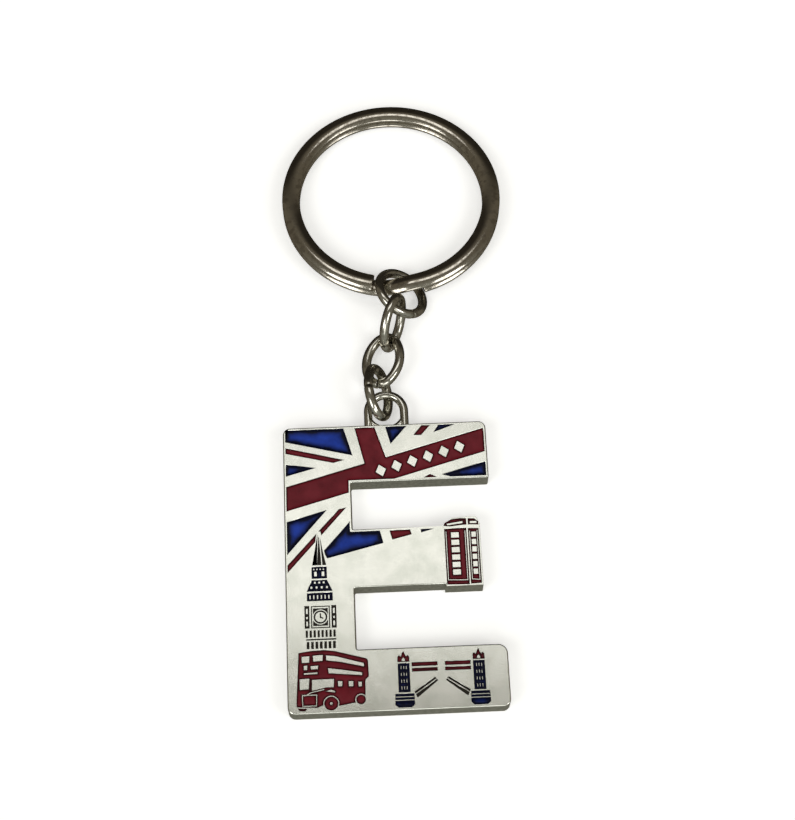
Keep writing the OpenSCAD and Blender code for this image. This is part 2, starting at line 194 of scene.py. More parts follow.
def linked_groups(edges: list[bmesh.types.BMEdge]) -> list[list[bmesh.types.BMEdge]]:
    """Splits edges into the groups that hang together.

    Args:
        edges: the edges, in any order.

    Returns:
        One list of edges for each group.
    """
    left = dict.fromkeys(edges)
    groups = []
    while left:
        group = [left.popitem()[0]]
        for edge in group:
            near = dict.fromkeys(e for v in edge.verts for e in v.link_edges if e in left)
            for other in near:
                del left[other]
            group.extend(near)
        groups.append(group)
    return groups


def angle_near(point: Vector, turn: float) -> float:
    """The point's angle round the Z axis in radians, on the same lap as the angle turn."""
    angle = math.atan2(point.y, point.x)
    return angle - 2 * math.pi * round((angle - turn) / (2 * math.pi))


def close_wire(form: bmesh.types.BMesh, sides: int, end_edge: float) -> None:
    """Welds a swept wire, closes its two cut ends and eases their edges.

    Args:
        form: the swept wire; its other faces all have four corners.
        sides: how many sides its section has.
        end_edge: how far the ends' edges are eased.
    """
    bmesh.ops.remove_doubles(form, verts=form.verts, dist=WELD)
    bmesh.ops.holes_fill(form, edges=[e for e in form.edges if e.is_boundary], sides=sides)
    rims = list({e for f in form.faces if len(f.verts) > 4 for e in f.edges})
    bmesh.ops.bevel(form, geom=rims, offset=end_edge, affect="EDGES", segments=2, profile=0.5, material=-1)
    bmesh.ops.recalc_face_normals(form, faces=form.faces)


# ---------------------------------------------------------------- finishes


class Fill(Enum):
    """What fills the sunk cells of the charm; each value is the record's slot."""

    RED = "red_enamel"
    BLUE = "blue_enamel"
    ANTIQUE = "antique_fill"

    @classmethod
    def of(cls, node: str) -> Fill:
        """Tells from a pool's node name what it is made of.

        Args:
            node: the CAD node's name.

        Returns:
            The fill.
        """
        if "red" in node:
            return cls.RED
        if "blue" in node:
            return cls.BLUE
        return cls.ANTIQUE


@dataclass(frozen=True)
class SatinNickel:
    """Bright nickel plate over a polished zinc casting, tumbled satin.

    To the eye it is a pale, faintly green-grey metal with soft, slightly cloudy reflections.
    """

    name: str = "satin_nickel_plate"
    face: str = "e0e1d8"
    shade: str = "d3d5cb"
    roughness: float = 0.21
    cloud_mm: float = 3.0
    cloud_span: tuple[float, float] = (0.36, 0.62)
    grain_mm: float = 0.09
    grain_gloss: tuple[float, float] = (-0.05, 0.07)
    grain_bump: float = 0.16
    grain_height_mm: float = 0.02

    def build(self) -> bpy.types.Material:
        """Makes the material.

        Returns:
            The finish, ready for a piece's slot.
        """
        material, tree, shader = new_material(self.name)
        shader.inputs["Metallic"].default_value = 1.0
        place = add_node(tree, "ShaderNodeTexCoord").outputs["Object"]
        # Broad, faint clouds where the plate is a little thicker or thinner
        cloud = add_node(
            tree, "ShaderNodeTexNoise", {"Scale": 1 / (self.cloud_mm * MM), "Detail": 3.0}, {"Vector": place}
        )
        share = add_node(
            tree,
            "ShaderNodeMapRange",
            {"From Min": self.cloud_span[0], "From Max": self.cloud_span[1]},
            {"Value": cloud.outputs["Fac"]},
        )
        tint = add_node(
            tree,
            "ShaderNodeMix",
            {"data_type": "RGBA", 6: linear(self.shade), 7: linear(self.face)},
            {0: share.outputs["Result"]},
        )
        tree.links.new(tint.outputs[2], shader.inputs["Base Color"])
        # Tumbling leaves fine pits about a tenth of a millimetre apart
        grain = add_node(
            tree, "ShaderNodeTexNoise", {"Scale": 1 / (self.grain_mm * MM), "Detail": 4.0}, {"Vector": place}
        )
        rough = add_node(
            tree,
            "ShaderNodeMapRange",
            {
                "From Min": NOISE_LOW,
                "From Max": NOISE_HIGH,
                "To Min": self.roughness + self.grain_gloss[0],
                "To Max": self.roughness + self.grain_gloss[1],
            },
            {"Value": grain.outputs["Fac"]},
        )
        tree.links.new(rough.outputs["Result"], shader.inputs["Roughness"])
        bump = add_node(
            tree,
            "ShaderNodeBump",
            {"Strength": self.grain_bump, "Distance": self.grain_height_mm * MM},
            {"Height": grain.outputs["Fac"]},
        )
        tree.links.new(bump.outputs["Normal"], shader.inputs["Normal"])
        return material


@dataclass(frozen=True)
class ShadedCastWall:
    """Nickel plate over the unpolished skin that the mould leaves on the casting's side walls.

    To the eye it is more matt than the faces, with a slight orange-peel grain; its colour is greyer than
    theirs as painted shade on the walls that face sideways.
    """

    name: str = "cast_nickel_wall_shaded"
    # Greyer than the faces' colours: painted shade on the sideways walls; the roughness and grain are the
    # cast skin
    colour: str = "c6c7bd"
    dark: str = "adaea4"
    roughness: float = 0.6
    skin_mm: float = 0.5
    skin_span: tuple[float, float] = (0.35, 0.6)
    skin_gloss: tuple[float, float] = (0.08, -0.08)
    skin_bump: float = 0.35
    skin_height_mm: float = 0.03

    def build(self) -> bpy.types.Material:
        """Makes the material.

        Returns:
            The finish, ready for a piece's slot.
        """
        material, tree, shader = new_material(self.name)
        shader.inputs["Metallic"].default_value = 1.0
        place = add_node(tree, "ShaderNodeTexCoord").outputs["Object"]
        skin = add_node(
            tree, "ShaderNodeTexNoise", {"Scale": 1 / (self.skin_mm * MM), "Detail": 5.0}, {"Vector": place}
        )
        share = add_node(
            tree,
            "ShaderNodeMapRange",
            {"From Min": self.skin_span[0], "From Max": self.skin_span[1]},
            {"Value": skin.outputs["Fac"]},
        )
        tint = add_node(
            tree,
            "ShaderNodeMix",
            {"data_type": "RGBA", 6: linear(self.dark), 7: linear(self.colour)},
            {0: share.outputs["Result"]},
        )
        tree.links.new(tint.outputs[2], shader.inputs["Base Color"])
        rough = add_node(
            tree,
            "ShaderNodeMapRange",
            {
                "From Min": NOISE_LOW,
                "From Max": NOISE_HIGH,
                "To Min": self.roughness + self.skin_gloss[0],
                "To Max": self.roughness + self.skin_gloss[1],
            },
            {"Value": skin.outputs["Fac"]},
        )
        tree.links.new(rough.outputs["Result"], shader.inputs["Roughness"])
        bump = add_node(
            tree,
            "ShaderNodeBump",
            {"Strength": self.skin_bump, "Distance": self.skin_height_mm * MM},
            {"Height": skin.outputs["Fac"]},
        )
        tree.links.new(bump.outputs["Normal"], shader.inputs["Normal"])
        return material


@dataclass(frozen=True)
class DrawnWire:
    """Bright nickel plate over drawn steel wire.

    To the eye it is a warm mirror with faint lines along the wire and small dull marks from handling.
    """

    name: str = "nickel_wire"
    colour: str = "cfccc2"
    dull: str = "a8a498"
    roughness: float = 0.1
    mark_mm: float = 0.7
    mark_span: tuple[float, float] = (0.48, 0.66)
    mark_gloss: float = 0.14
    mark_gloss_from: float = 0.4
    lines_along: float = 2.0
    lines_round: float = 60.0
    line_bump: float = 0.06
    line_height_mm: float = 0.02

    def build(self) -> bpy.types.Material:
        """Makes the material; its lines follow the wire by the piece's own "sweep" UV map.

        Returns:
            The finish, ready for a piece's slot.
        """
        material, tree, shader = new_material(self.name)
        shader.inputs["Metallic"].default_value = 1.0
        place = add_node(tree, "ShaderNodeTexCoord").outputs["Object"]
        marks = add_node(
            tree, "ShaderNodeTexNoise", {"Scale": 1 / (self.mark_mm * MM), "Detail": 4.0}, {"Vector": place}
        )
        worn = add_node(
            tree,
            "ShaderNodeMapRange",
            {"From Min": self.mark_span[0], "From Max": self.mark_span[1]},
            {"Value": marks.outputs["Fac"]},
        )
        tint = add_node(
            tree,
            "ShaderNodeMix",
            {"data_type": "RGBA", 6: linear(self.colour), 7: linear(self.dull)},
            {0: worn.outputs["Result"]},
        )
        tree.links.new(tint.outputs[2], shader.inputs["Base Color"])
        rough = add_node(
            tree,
            "ShaderNodeMapRange",
            {
                "From Min": self.mark_gloss_from,
                "From Max": NOISE_HIGH,
                "To Min": self.roughness,
                "To Max": self.roughness + self.mark_gloss,
            },
            {"Value": marks.outputs["Fac"]},
        )
        tree.links.new(rough.outputs["Result"], shader.inputs["Roughness"])
        # Drawing lines: fine across the wire and half a millimetre long
        along = add_node(tree, "ShaderNodeUVMap", {"uv_map": "sweep"})
        squeeze = add_node(
            tree,
            "ShaderNodeMapping",
            {"Scale": (self.lines_along, self.lines_round, 1.0)},
            {"Vector": along.outputs["UV"]},
        )
        lines = add_node(
            tree, "ShaderNodeTexNoise", {"Scale": 1.0, "Detail": 3.0}, {"Vector": squeeze.outputs["Vector"]}
        )
        bump = add_node(
            tree,
            "ShaderNodeBump",
            {"Strength": self.line_bump, "Distance": self.line_height_mm * MM},
            {"Height": lines.outputs["Fac"]},
        )
        tree.links.new(bump.outputs["Normal"], shader.inputs["Normal"])
        return material


@dataclass(frozen=True)
class SoftEnamel:
    """Soft enamel: coloured resin that is poured into a cell and baked.

    To the eye it is glossy and deep in colour; near the cell's metal wall its colour is darkened as painted
    shade of the recess.
    """

    name: str
    colour: str
    # The deep colour: the darker tone of the random clouds, and also the painted shade near the cell's wall
    depth: str
    # How far in from the cell's wall the painted shade reaches, in millimetres
    shade_reach_mm: float = 0.25
    roughness: float = 0.2
    gloss: float = 0.1
    cloud_mm: float = 1.6
    cloud_span: tuple[float, float] = (0.35, 0.72)
    cloud_depth: float = 0.4
    cloud_gloss: float = 0.1
    peel_mm: float = 0.45
    peel_bump: float = 0.2
    peel_height_mm: float = 0.02

    def build(self) -> bpy.types.Material:
        """Makes the material; a painted shade darkens it near the cell's wall, following the pool's own
        "wall" attribute.

        Returns:
            The finish, ready for a piece's slot.
        """
        material, tree, shader = new_material(self.name)
        shader.inputs["IOR"].default_value = 1.52
        shader.inputs["Specular IOR Level"].default_value = self.gloss
        place = add_node(tree, "ShaderNodeTexCoord").outputs["Object"]
        wall = add_node(tree, "ShaderNodeAttribute", {"attribute_name": "wall"})
        # Painted shade: the colour darkens towards the deep colour near the cell's wall, where the recess
        # lies in shadow
        wall_shade = add_node(
            tree,
            "ShaderNodeMapRange",
            {"interpolation_type": "SMOOTHSTEP", "From Max": self.shade_reach_mm, "To Min": 1.0, "To Max": 0.0},
            {"Value": wall.outputs["Fac"]},
        )
        cloud = add_node(
            tree, "ShaderNodeTexNoise", {"Scale": 1 / (self.cloud_mm * MM), "Detail": 3.0}, {"Vector": place}
        )
        uneven = add_node(
            tree,
            "ShaderNodeMapRange",
            {"From Min": self.cloud_span[0], "From Max": self.cloud_span[1], "To Max": self.cloud_depth},
            {"Value": cloud.outputs["Fac"]},
        )
        # The random clouds and the painted shade at the wall add up to one darkening
        dark = add_node(
            tree,
            "ShaderNodeMath",
            {"operation": "ADD", "use_clamp": True},
            {0: uneven.outputs["Result"], 1: wall_shade.outputs["Result"]},
        )
        tint = add_node(
            tree,
            "ShaderNodeMix",
            {"data_type": "RGBA", 6: linear(self.colour), 7: linear(self.depth)},
            {0: dark.outputs["Value"]},
        )
        tree.links.new(tint.outputs[2], shader.inputs["Base Color"])
        rough = add_node(
            tree,
            "ShaderNodeMapRange",
            {
                "From Min": NOISE_LOW,
                "From Max": NOISE_HIGH,
                "To Min": self.roughness,
                "To Max": self.roughness + self.cloud_gloss,
            },
            {"Value": cloud.outputs["Fac"]},
        )
        tree.links.new(rough.outputs["Result"], shader.inputs["Roughness"])
        # Orange peel of the baked resin, about half a millimetre from swell to swell
        peel = add_node(
            tree, "ShaderNodeTexNoise", {"Scale": 1 / (self.peel_mm * MM), "Detail": 2.0}, {"Vector": place}
        )
        bump = add_node(
            tree,
            "ShaderNodeBump",
            {"Strength": self.peel_bump, "Distance": self.peel_height_mm * MM},
            {"Height": peel.outputs["Fac"]},
        )
        tree.links.new(bump.outputs["Normal"], shader.inputs["Normal"])
        return material


@dataclass(frozen=True)
class LightTableFilm:
    """Matt white film on a light table: it glows softly, which keeps the shadows on it faint."""

    name: str = "studio_paper"
    colour: str = "fcfcfb"
    roughness: float = 0.9
    gloss: float = 0.1
    glow: float = 0.5

    def build(self) -> bpy.types.Material:
        """Makes the material.

        Returns:
            The finish, ready for a piece's slot.
        """
        material, _, shader = new_material(self.name)
        shader.inputs["Base Color"].default_value = linear(self.colour)
        shader.inputs["Roughness"].default_value = self.roughness
        shader.inputs["Specular IOR Level"].default_value = self.gloss
        shader.inputs["Emission Color"].default_value = linear(self.colour)
        shader.inputs["Emission Strength"].default_value = self.glow
        return material


# ---------------------------------------------------------------- the charm


class Rim(Enum):
    """Where an edge of the casting's flat faces runs, which says how far tumbling has rounded it."""

    LETTER = "round the letter"
    THIN = "round the letter beside the phone box, where only a thin wall stands"
    CELL = "round a cell"


@dataclass
class Charm:
    """The cast letter and the pools of enamel in its cells.

    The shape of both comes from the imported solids: the metal gets its tumbled edges, and each pool the skin
    that resin has when it dries, which climbs the cell's walls and sinks a little in the middle.
    """

    faces: bpy.types.Material
    shaded_walls: bpy.types.Material
    loop: bpy.types.Material
    enamels: dict[Fill, bpy.types.Material]
    letter_edge: float = 0.14 * MM
    thin_edge: float = 0.03 * MM
    cell_edge: float = 0.016 * MM
    smallest_edge: float = 0.008 * MM
    # How far the thin wall's region reaches past the phone box: left, below, right and above
    thin_reach: tuple[float, float, float, float] = (0.14 * MM, 0.7 * MM, 0.42 * MM, 1.0 * MM)
    # The letter's top edge above the topmost cell, and the smallest wall that is shaded flat, by its area
    top_rim: float = 0.35 * MM
    flat_wall: float = 0.4 * MM**2
    # The resin's skin: its climb at the wall, how far in that reaches, and how deep it sinks in the middle
    climb: float = 0.075 * MM
    climb_reach: float = 0.09 * MM
    sag: float = 0.03 * MM
    sag_reach: float = 0.36 * MM
    inset: float = 0.045 * MM
    grid: float = 0.22 * MM
    cut_snap: float = 0.0002 * MM

    def thin_region(self) -> tuple[Vector, Vector]:
        """Finds the region beside the phone box where only a thin wall stands round the cells.

        Returns:
            Its lowest and its highest corner, in plan.
        """
        front, side, roof = (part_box(f"phone_{part}_red") for part in ("front", "side", "roof"))
        left, below, right, above = self.thin_reach
        return Vector((front[0].x - left, front[0].y - below)), Vector((side[1].x + right, roof[1].y + above))

    def rims(self, form: bmesh.types.BMesh, top: float) -> dict[Rim, list[bmesh.types.BMEdge]]:
        """Sorts the edges between the casting's flat faces and its upright walls.

        Args:
            form: the casting's form.
            top: the height of its front face.

        Returns:
            The edges of each kind.
        """
        low, high = self.thin_region()
        sorted_edges: dict[Rim, list[bmesh.types.BMEdge]] = {rim: [] for rim in Rim}
        for edge in form.edges:
            level = [f for f in edge.link_faces if abs(f.normal.z) > 0.99]
            upright = [f for f in edge.link_faces if abs(f.normal.z) < 0.05]
            if len(edge.link_faces) != 2 or len(level) != 1 or len(upright) != 1:
                continue
            at_top = all(v.co.z > top - SAME_LEVEL for v in edge.verts)
            at_back = all(v.co.z < SAME_LEVEL for v in edge.verts)
            whole_wall = min(v.co.z for v in upright[0].verts) < SAME_LEVEL
            thin = any(low.x < v.co.x < high.x and low.y < v.co.y < high.y for v in edge.verts)
            if (at_top or at_back) and whole_wall:
                sorted_edges[Rim.THIN if thin else Rim.LETTER].append(edge)
            elif at_top:
                sorted_edges[Rim.CELL].append(edge)
        return sorted_edges

    def casting(self) -> bpy.types.Object:
        """Models the casting, with tumbled edges and a finish for its faces, its walls and its loop.

        Returns:
            The piece that stands for the CAD casting.
        """
        form = node_form("charm_plate", self.smallest_edge)
        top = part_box("charm_plate")[1].z
        rims = self.rims(form, top)
        for edges in linked_groups(rims[Rim.CELL]):
            bmesh.ops.bevel(
                form,
                geom=edges,
                offset=self.cell_edge,
                affect="EDGES",
                segments=1,
                profile=0.5,
                material=-1,
                clamp_overlap=True,
            )
        for rim, offset in ((Rim.LETTER, self.letter_edge), (Rim.THIN, self.thin_edge)):
            edges = [e for e in rims[rim] if e.is_valid]
            bmesh.ops.bevel(
                form, geom=edges, offset=offset, affect="EDGES", segments=3, profile=0.5, material=-1
            )
        letter_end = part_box("flag_field_blue_1")[1].y + self.top_rim
        for polygon in form.faces:
            middle = polygon.calc_center_median()
            if middle.y > letter_end:
                polygon.material_index = 2
            # Sideways walls below the letter's edge take the wall finish, whose greyer colour is painted
            # shade
            elif abs(polygon.normal.z) < 0.3 and middle.z < top - 0.9 * self.letter_edge:
                polygon.material_index = 1
        piece = to_object(form, "letter_casting", [self.faces, self.shaded_walls, self.loop])
        for polygon in piece.data.polygons:
            flat_face = abs(polygon.normal.z) > 0.999
            flat_side = abs(polygon.normal.z) < 0.001 and polygon.area > self.flat_wall
            polygon.use_smooth = not (flat_face or flat_side)
        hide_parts("charm_plate")
        return piece

    @staticmethod
    def skin(form: bmesh.types.BMesh, top: float) -> list[bmesh.types.BMFace]:
        """The faces of a pool's flat top, whose height is given."""
        return [
            f for f in form.faces if f.normal.z > 0.9 and f.calc_center_median().z > top - SAME_LEVEL
        ]

    def cut_skin(self, form: bmesh.types.BMesh, low: Vector, high: Vector) -> list[bmesh.types.BMFace]:
        """Cuts a pool's top into a border along the wall and a fine grid inside it.

        Args:
            form: the pool's form.
            low: its lowest corner.
            high: its highest corner.

        Returns:
            The faces inside the border.
        """
        bmesh.ops.inset_region(
            form,
            faces=self.skin(form, high.z),
            thickness=self.inset,
            depth=0.0,
            use_even_offset=True,
            use_boundary=True,
        )
        for axis in (0, 1):
            for step in range(int((high[axis] - low[axis]) / self.grid)):
                faces = self.skin(form, high.z)
                geom = {e for f in faces for e in f.edges} | {v for f in faces for v in f.verts} | set(faces)
                point, normal = Vector(low), Vector((0, 0, 0))
                point[axis] = low[axis] + self.grid / 2 + step * self.grid
                normal[axis] = 1.0
                bmesh.ops.bisect_plane(
                    form, geom=list(geom), dist=self.cut_snap, plane_co=point, plane_no=normal
                )
        return self.skin(form, high.z)

    def pool(self, node: str) -> bpy.types.Object:
        """Models one pool of fill.

        Args:
            node: the CAD node that it stands for.

        Returns:
            The piece, with a "wall" attribute: each point's distance from the cell's wall in millimetres.
        """
        fill = Fill.of(node)
        form = node_form(node)
        skin = self.cut_skin(form, *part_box(node))
        in_skin = set(skin)
        rim = [e for f in skin for e in f.edges if any(g not in in_skin for g in e.link_faces)]
        starts = np.array([e.verts[0].co[:2] for e in rim])
        spans = np.array([e.verts[1].co[:2] for e in rim]) - starts
        lengths = np.maximum((spans**2).sum(1), 1e-16)
        # Each point's distance from the wall also drives the enamel's painted shade near the wall
        wall = form.verts.layers.float.new("wall")
        for vert in {v for f in skin for v in f.verts}:
            offset = np.array(vert.co[:2]) - starts
            along = np.clip((offset * spans).sum(1) / lengths, 0, 1)
            away = float(np.sqrt(((offset - spans * along[:, None]) ** 2).sum(1)).min())
            vert.co.z += self.climb * math.exp(-away / self.climb_reach)
            vert.co.z -= self.sag * (1 - math.exp(-away / self.sag_reach))
            vert[wall] = away / MM
        piece = to_object(form, node + "_pool", [self.enamels[fill]])
        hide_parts(node)
        return piece

    def build(self, fills: list[str]) -> list[bpy.types.Object]:
        """Builds the casting and every pool.

        Args:
            fills: the CAD nodes of the pools.

        Returns:
            All the pieces, riding on the charm.
        """
        pieces = [self.casting(), *(self.pool(node) for node in fills)]
        for piece in pieces:
            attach(piece, "charm")
        return pieces


# ---------------------------------------------------------------- wire pieces


@dataclass(frozen=True)
class Place:
    """Where a wire piece lies: its middle in millimetres, and its turn in plan, pitch and roll in degrees."""

    at: tuple[float, float, float]
    turn: tuple[float, float, float]

    def matrix(self) -> Matrix:
        """Works out the piece's transform.

        Returns:
            The matrix from the piece's own plane to the row frame.
        """
        plan, pitch, roll = (math.radians(a) for a in self.turn)
        spin = Matrix.Rotation(plan, 4, "Z") @ Matrix.Rotation(pitch, 4, "X") @ Matrix.Rotation(roll, 4, "Y")
        return Matrix.Translation(Vector(self.at) * MM) @ spin


@dataclass
class Wire:
    """A piece of round wire bent flat through a row of arcs, with cut ends that almost meet."""

    name: str
    node: str
    body: str
    place: Place
    diameter: float = 1.25 * MM
    gap: float = 0.14 * MM
    sides: int = 28
    step: float = 5.0
    end_edge: float = 0.09 * MM
    form: bmesh.types.BMesh = field(default_factory=bmesh.new)

    def section(self, centre: Vector, radius: float, angle: float) -> list[bmesh.types.BMEdge]:
        """Draws the wire's round section where an arc starts.

        Args:
            centre: the arc's centre.
            radius: the arc's radius.
            angle: where on the arc it stands, in degrees.

        Returns:
            The section's edges.
        """
        outward = Vector((math.cos(math.radians(angle)), math.sin(math.radians(angle)), 0))
        up = Vector((0, 0, 1))
        across = Matrix((outward, up, outward.cross(up))).transposed().to_4x4()
        made = bmesh.ops.create_circle(
            self.form,
            segments=self.sides,
            radius=self.diameter / 2,
            matrix=Matrix.Translation(centre + outward * radius) @ across,
        )
        return list({e for v in made["verts"] for e in v.link_edges})

    def bend(self, edges: list[bmesh.types.BMEdge], centre: Vector, sweep: float) -> list[bmesh.types.BMEdge]:
        """Sweeps the section round a centre.

        Args:
            edges: the section's edges.
            centre: the arc's centre.
            sweep: the arc's angle in degrees.

        Returns:
            The section's edges at the arc's end.
        """
        done = bmesh.ops.spin(
            self.form,
            geom=edges,
            cent=centre,
            axis=(0, 0, 1),
            angle=math.radians(sweep),
            steps=max(2, round(abs(sweep) / self.step)),
            use_merge=False,
            use_duplicate=False,
        )
        return [g for g in done["geom_last"] if isinstance(g, bmesh.types.BMEdge)]

    def finish(self, material: bpy.types.Material) -> bpy.types.Object:
        """Closes the ends, maps the sweep and puts the piece in its place.

        Args:
            material: the wire's finish.

        Returns:
            The finished piece, riding on its body.
        """
        close_wire(self.form, self.sides + 4, self.end_edge)
        self.unwrap()
        bmesh.ops.transform(self.form, matrix=self.place.matrix(), verts=self.form.verts)
        piece = to_object(self.form, self.name, [material])
        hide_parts(self.node)
        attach(piece, self.body)
        return piece

    def unwrap(self) -> None:
        """Writes the "sweep" UV map: U along the wire in millimetres, V across its height from 0 to 1."""
        layer = self.form.loops.layers.uv.new("sweep")
        for polygon in self.form.faces:
            middle = polygon.calc_center_median()
            turn = math.atan2(middle.y, middle.x)
            for corner in polygon.loops:
                point = corner.vert.co
                along = angle_near(point, turn) * math.hypot(point.x, point.y) / MM
                corner[layer].uv = (along, 0.5 + point.z / self.diameter)


class Butt(Enum):
    """Where an oval link's ends meet."""

    LEFT = "middle of its left side"
    LOWER = "its lower end"


@dataclass
class OvalLink(Wire):
    """One oval link: two shallow side arcs and two round end arcs, which meet on a 3-4-5 triangle's slope."""

    half_length: float = 3.425 * MM
    half_width: float = 2.275 * MM
    butt: Butt = Butt.LOWER

    def bent(self, material: bpy.types.Material) -> bpy.types.Object:
        """Bends the link and finishes it.

        Args:
            material: the wire's finish.

        Returns:
            The finished piece.
        """
        end_radius = (3 * self.half_width - self.half_length) / 2
        side_radius = 5 * self.half_width - 4 * end_radius
        right = Vector((self.half_width - side_radius, 0, 0))
        upper = Vector((0, self.half_length - end_radius, 0))
        half_side = math.degrees(math.atan2(3, 4))
        half_end = 90 - half_side
        if self.butt is Butt.LOWER:
            cut = math.degrees(self.gap / 2 / end_radius)
            edges = self.section(-upper, end_radius, -90 + cut)
            last = (-upper, half_end - cut)
            arcs = [last, (right, 2 * half_side), (upper, 2 * half_end), (-right, 2 * half_side), last]
        else:
            cut = math.degrees(self.gap / 2 / side_radius)
            edges = self.section(-right, side_radius, 180 + cut)
            last = (-right, half_side - cut)
            arcs = [last, (-upper, 2 * half_end), (right, 2 * half_side), (upper, 2 * half_end), last]
        for centre, sweep in arcs:
            edges = self.bend(edges, centre, sweep)
        return self.finish(material)


@dataclass
class JumpRing(Wire):
    """The round jump ring, closed to a hair's gap low on its right."""

    step: float = 4.0
    radius: float = 3.375 * MM
    joint_at: float = -50.0

    def bent(self, material: bpy.types.Material) -> bpy.types.Object:
        """Bends the ring and finishes it.

        Args:
            material: the wire's finish.

        Returns:
            The finished piece.
        """
        middle = Vector((0, 0, 0))
        cut = math.degrees(self.gap / 2 / self.radius)
        edges = self.section(middle, self.radius, self.joint_at + cut)
        self.bend(edges, middle, 360 - 2 * cut)
        return self.finish(material)


@dataclass
class SplitRing:
    """The split ring: flat spring wire wound nearly two turns, with one short climb between them."""

    outer: float = 30.0 * MM
    width: float = 2.4 * MM
    turn_height: float = 1.25 * MM
    turn_gap: float = 0.04 * MM
    # Where the coil starts, climbs and ends, in degrees round the ring
    low_end: float = 285.5
    climb_from: float = 258.0
    climb_to: float = 283.0
    top_end: float = 257.6
    # The ring lies over the jump ring, so it leans, in degrees; centre is its near edge, in millimetres
    lean: float = 2.503
    centre: tuple[float, float] = (0.225, 28.26)
    end_edge: float = 0.14 * MM
    turn_steps: int = 200
    climb_steps: int = 20
    # The section: a circle's points are pushed out to flat sides, and its top and bottom get a low crown
    section_sides: int = 36
    squareness: float = 1.18
    side_sine: float = 0.53
    crown: float = 1.9 * MM
    crown_end: float = 0.985
    corner_ease: float = 0.16 * MM
    form: bmesh.types.BMesh = field(default_factory=bmesh.new)

    @property
    def radius(self) -> float:
        """From the ring's axis to the middle of its section."""
        return (self.outer - self.width) / 2

    def half_height(self, across: float) -> float:
        """Half the section's height at a distance across it from its middle."""
        return math.sqrt(self.crown**2 - across**2) - (self.crown - self.turn_height / 2)

    def section(self, angle: float) -> list[bmesh.types.BMEdge]:
        """Draws the wire's section at an angle round the ring.

        Args:
            angle: where it stands, in degrees.

        Returns:
            The section's edges.
        """
        made = bmesh.ops.create_circle(self.form, segments=self.section_sides, radius=1.0)
        side = self.width / 2
        for vert in made["verts"]:
            turn = math.atan2(vert.co.y, vert.co.x)
            reach = min(1.0, self.squareness * abs(math.cos(turn)))
            rise = abs(math.sin(turn)) / self.side_sine
            across = math.copysign(side * reach, math.cos(turn))
            height = self.half_height(side * min(reach, self.crown_end)) * min(1.0, rise)
            if reach >= 1.0:
                across -= math.copysign(self.corner_ease * rise**3, math.cos(turn))
            vert.co = (self.radius + across, 0, math.copysign(height, math.sin(turn)))
        stand = Matrix.Rotation(math.radians(angle), 3, "Z")
        bmesh.ops.rotate(self.form, verts=made["verts"], cent=(0, 0, 0), matrix=stand)
        return list({e for v in made["verts"] for e in v.link_edges})

    def wind(
        self, edges: list[bmesh.types.BMEdge], sweep: float, steps: int, lift: float
    ) -> list[bmesh.types.BMEdge]:
        """Winds the section on round the ring.

        Args:
            edges: the section's edges.
            sweep: how far, in degrees.
            steps: in how many steps.
            lift: how much it rises on the way.

        Returns:
            The section's edges at the end.
        """
        done = bmesh.ops.spin(
            self.form,
            geom=edges,
            cent=(0, 0, 0),
            axis=(0, 0, 1),
            dvec=(0, 0, lift / steps),
            angle=math.radians(sweep),
            steps=steps,
            use_merge=False,
            use_duplicate=False,
        )
        return [g for g in done["geom_last"] if isinstance(g, bmesh.types.BMEdge)]

    def unwrap(self) -> None:
        """Writes the "sweep" UV map: U along the wire in millimetres, V round its section."""
        layer = self.form.loops.layers.uv.new("sweep")
        for polygon in self.form.faces:
            middle = polygon.calc_center_median()
            turn = math.atan2(middle.y, middle.x)
            for corner in polygon.loops:
                point = corner.vert.co
                along = angle_near(point, turn) * self.radius / MM
                across = (math.hypot(point.x, point.y) - self.radius) / self.width
                corner[layer].uv = (along, 0.5 + across + point.z / self.width)

    def build(self, material: bpy.types.Material) -> bpy.types.Object:
        """Winds the coil and lays it down.

        Args:
            material: the spring wire's finish.

        Returns:
            The piece, riding on its body.
        """
        edges = self.section(self.low_end)
        edges = self.wind(edges, 360 + self.climb_from - self.low_end, self.turn_steps, 0.0)
        sweep = (self.climb_to - self.climb_from) / self.climb_steps
        level = 0.0
        for step in range(1, self.climb_steps + 1):
            share = step / self.climb_steps
            smooth = (self.turn_height + self.turn_gap) * share * share * (3 - 2 * share)
            edges = self.wind(edges, sweep, 1, smooth - level)
            level = smooth
        self.wind(edges, 360 + self.top_end - self.climb_to, self.turn_steps, 0.0)
        close_wire(self.form, self.section_sides + 4, self.end_edge)
        self.unwrap()
        far_edge = Vector((0, self.outer / 2, -self.turn_height / 2))
        lean = Matrix.Rotation(-math.radians(self.lean), 4, "X")
        rest = Matrix.Translation((self.centre[0] * MM, self.centre[1] * MM + self.outer / 2, 0))
        bmesh.ops.transform(
            self.form, matrix=rest @ lean @ Matrix.Translation(-far_edge), verts=self.form.verts
        )
        piece = to_object(self.form, "split_ring_coil", [material])
        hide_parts("split_ring")
        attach(piece, "split_ring")
        return piece


# ---------------------------------------------------------------- the studio


@dataclass(frozen=True)
class Softbox:
    """One rectangular soft light, given by its place, its size and the point that it faces."""

    name: str
    at: tuple[float, float, float]
    aim: tuple[float, float, float]
    size: tuple[float, float]
    power: float

    def build(self) -> bpy.types.Object:
        """Makes the light.

        Returns:
            The light, in the scene.
        """
        data = bpy.data.lights.new(self.name, "AREA")
        data.shape = "RECTANGLE"
        data.size, data.size_y = self.size
        data.energy = self.power
        lamp = bpy.data.objects.new(self.name, data)
        lamp.location = self.at
        lamp.rotation_euler = (Vector(self.aim) - Vector(self.at)).to_track_quat("-Z", "Y").to_euler()
        bpy.context.scene.collection.objects.link(lamp)
        return lamp


